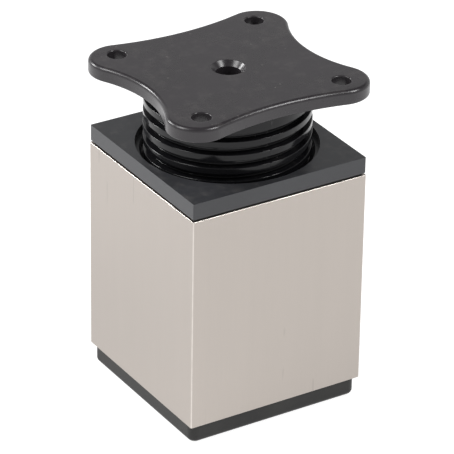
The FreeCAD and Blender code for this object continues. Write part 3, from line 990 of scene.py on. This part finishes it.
@dataclass
class Fittings:
    """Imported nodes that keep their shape: collar, shoe, stop ring and tie screws."""

    finishes: tuple[tuple[str, MouldedPlastic | BrushedMetal, Slot], ...] = (
        ("thread_collar", COLLAR_SATIN, Slot.COLLAR),
        ("base_shoe", SHOE_MATT, Slot.SHOE),
        ("stop_ring", SPRING_STEEL, Slot.RING),
        ("tie_screws", ZINC_PLATE, Slot.SCREW),
    )

    def make(self) -> list[bpy.types.Object]:
        """Dresses the nodes.

        Returns:
            The pieces.
        """
        pieces = []
        for name, finish, slot in self.finishes:
            piece = frame["nodes"][name]
            dress(piece, finish)
            pieces.append(piece)
        return pieces


# ---------------------------------------------------------------- studio


@dataclass(frozen=True)
class Softbox:
    """Square soft light that looks at the foot."""

    name: str
    direction: tuple[float, float, float]
    distance: float
    size: Pair
    radiance: float

    def make(self, target: Vector) -> None:
        """Hangs the light.

        Args:
            target: Point that it looks at.
        """
        lamp = bpy.data.lights.new(self.name, "AREA")
        lamp.shape = "RECTANGLE"
        lamp.size, lamp.size_y = self.size
        lamp.energy = self.radiance * math.pi * self.size[0] * self.size[1]
        holder = bpy.data.objects.new(self.name, lamp)
        way = Vector(self.direction).normalized()
        holder.location = target + way * self.distance
        holder.rotation_euler = way.to_track_quat("Z", "Y").to_euler()
        holder.visible_camera = False
        bpy.context.scene.collection.objects.link(holder)


@dataclass
class Studio:
    """Pale floor, soft lights and the camera."""

    azimuth: float = -32.235
    elevation: float = 28.297
    roll: float = 0.942
    distance: float = 1.057
    lens: float = 277.99
    aim: tuple[float, float, float] = (0.40 * MM, 0.0, 52.09 * MM)
    floor_half: float = 3.0
    floor_drop: float = 0.05 * MM
    floor_glow: float = 0.86
    wall_rise: Pair = (0.43, 0.54)
    wall_light: Pair = (0.62, 0.10)
    lights: tuple[Softbox, ...] = (
        Softbox("left_softbox", (-0.62, 0.17, 0.76), 1.3, (0.55, 0.55), 9.5),
        Softbox("back_left_softbox", (-0.46, 0.745, 0.46), 1.5, (0.40, 0.30), 26.0),
        Softbox("right_softbox", (0.42, -0.49, 0.76), 1.3, (0.42, 0.42), 15.0),
    )

    def make_floor(self) -> None:
        """Lays a pale floor that glows a little, as a lit sweep does."""
        shell, half = Shell(), self.floor_half
        spots = ((-half, -half), (half, -half), (half, half), (-half, half))
        shell.flat(shell.ring(Vector((x, y, -self.floor_drop)) for x, y in spots))
        floor = shell.build("studio_floor")
        floor.modifiers.clear()
        graph, shader = new_material("pale_floor")
        cloud = graph.noise(graph.places(), 3.0)
        graph.feed(shader.inputs["Base Color"], graph.blend(cloud, (0.38, 0.38, 0.38), (0.40, 0.40, 0.40)))
        shader.inputs["Roughness"].default_value = 0.9
        shader.inputs["Specular IOR Level"].default_value = 0.0
        shader.inputs["Emission Color"].default_value = (1.0, 1.0, 1.0, 1.0)
        shader.inputs["Emission Strength"].default_value = self.floor_glow
        floor.data.materials.append(bpy.data.materials["pale_floor"])
        floor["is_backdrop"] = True

    def make_world(self) -> None:
        """Surrounds the foot with a pale wall under a darker ceiling, and a white background."""
        world = bpy.data.worlds.new("studio_walls")
        world.use_nodes = True
        bpy.context.scene.world = world
        graph = Graph(world.node_tree)
        back = world.node_tree.nodes["Background"]
        way = graph.add("TexCoord").outputs["Generated"]
        rise = graph.add("SeparateXYZ", {0: way}).outputs[2]
        wall = graph.span(rise, self.wall_rise, self.wall_light)
        seen = graph.add("LightPath").outputs["Is Camera Ray"]
        graph.feed(back.inputs["Color"], (1.0, 1.0, 1.0, 1.0))
        graph.feed(back.inputs["Strength"], graph.math("MAXIMUM", seen, wall))

    def make_camera(self) -> None:
        """Sets up the camera, looking down at one upright edge."""
        turn, lift, tilt = (math.radians(angle) for angle in (self.azimuth, self.elevation, self.roll))
        back = Vector((math.sin(turn) * math.cos(lift), -math.cos(turn) * math.cos(lift), math.sin(lift)))
        level = Vector((math.cos(turn), math.sin(turn), 0.0))
        upright = back.cross(level)
        right = level * math.cos(tilt) + upright * math.sin(tilt)
        up = back.cross(right)
        camera = bpy.data.objects.new("camera", bpy.data.cameras.new("camera"))
        camera.data.lens = self.lens
        camera.data.sensor_width = 36.0
        camera.data.clip_end = 20.0
        camera.data.dof.use_dof = False
        pose = Matrix((right, up, back)).transposed().to_4x4()
        pose.translation = Vector(self.aim) + back * self.distance
        camera.matrix_world = pose
        bpy.context.scene.collection.objects.link(camera)
        bpy.context.scene.camera = camera

    def make(self) -> None:
        """Builds the whole studio."""
        self.make_camera()
        self.make_floor()
        self.make_world()
        for light in self.lights:
            light.make(Vector(self.aim))
        bpy.context.scene.view_settings.view_transform = "Standard"


def corners(box: tuple[Vector, Vector]) -> list[list[float]]:
    """A box's two corners as plain lists."""
    return [[float(part) for part in corner] for corner in box]


def main() -> None:
    """Builds the studio and every sub-assembly in order."""
    logging.basicConfig(level=logging.INFO, format="%(message)s")
    log = logging.getLogger("foot")
    Studio().make()
    for assembly in (MountingPlate(), Barrel(), Sleeve(), Fittings()):
        for piece in assembly.make():
            log.info("%s: %s, %d faces", type(assembly).__name__, piece.name, len(piece.data.polygons))
    {"cad": corners(CAD_BOX), "visual": corners(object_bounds())}


if __name__ == "__main__":
    main()
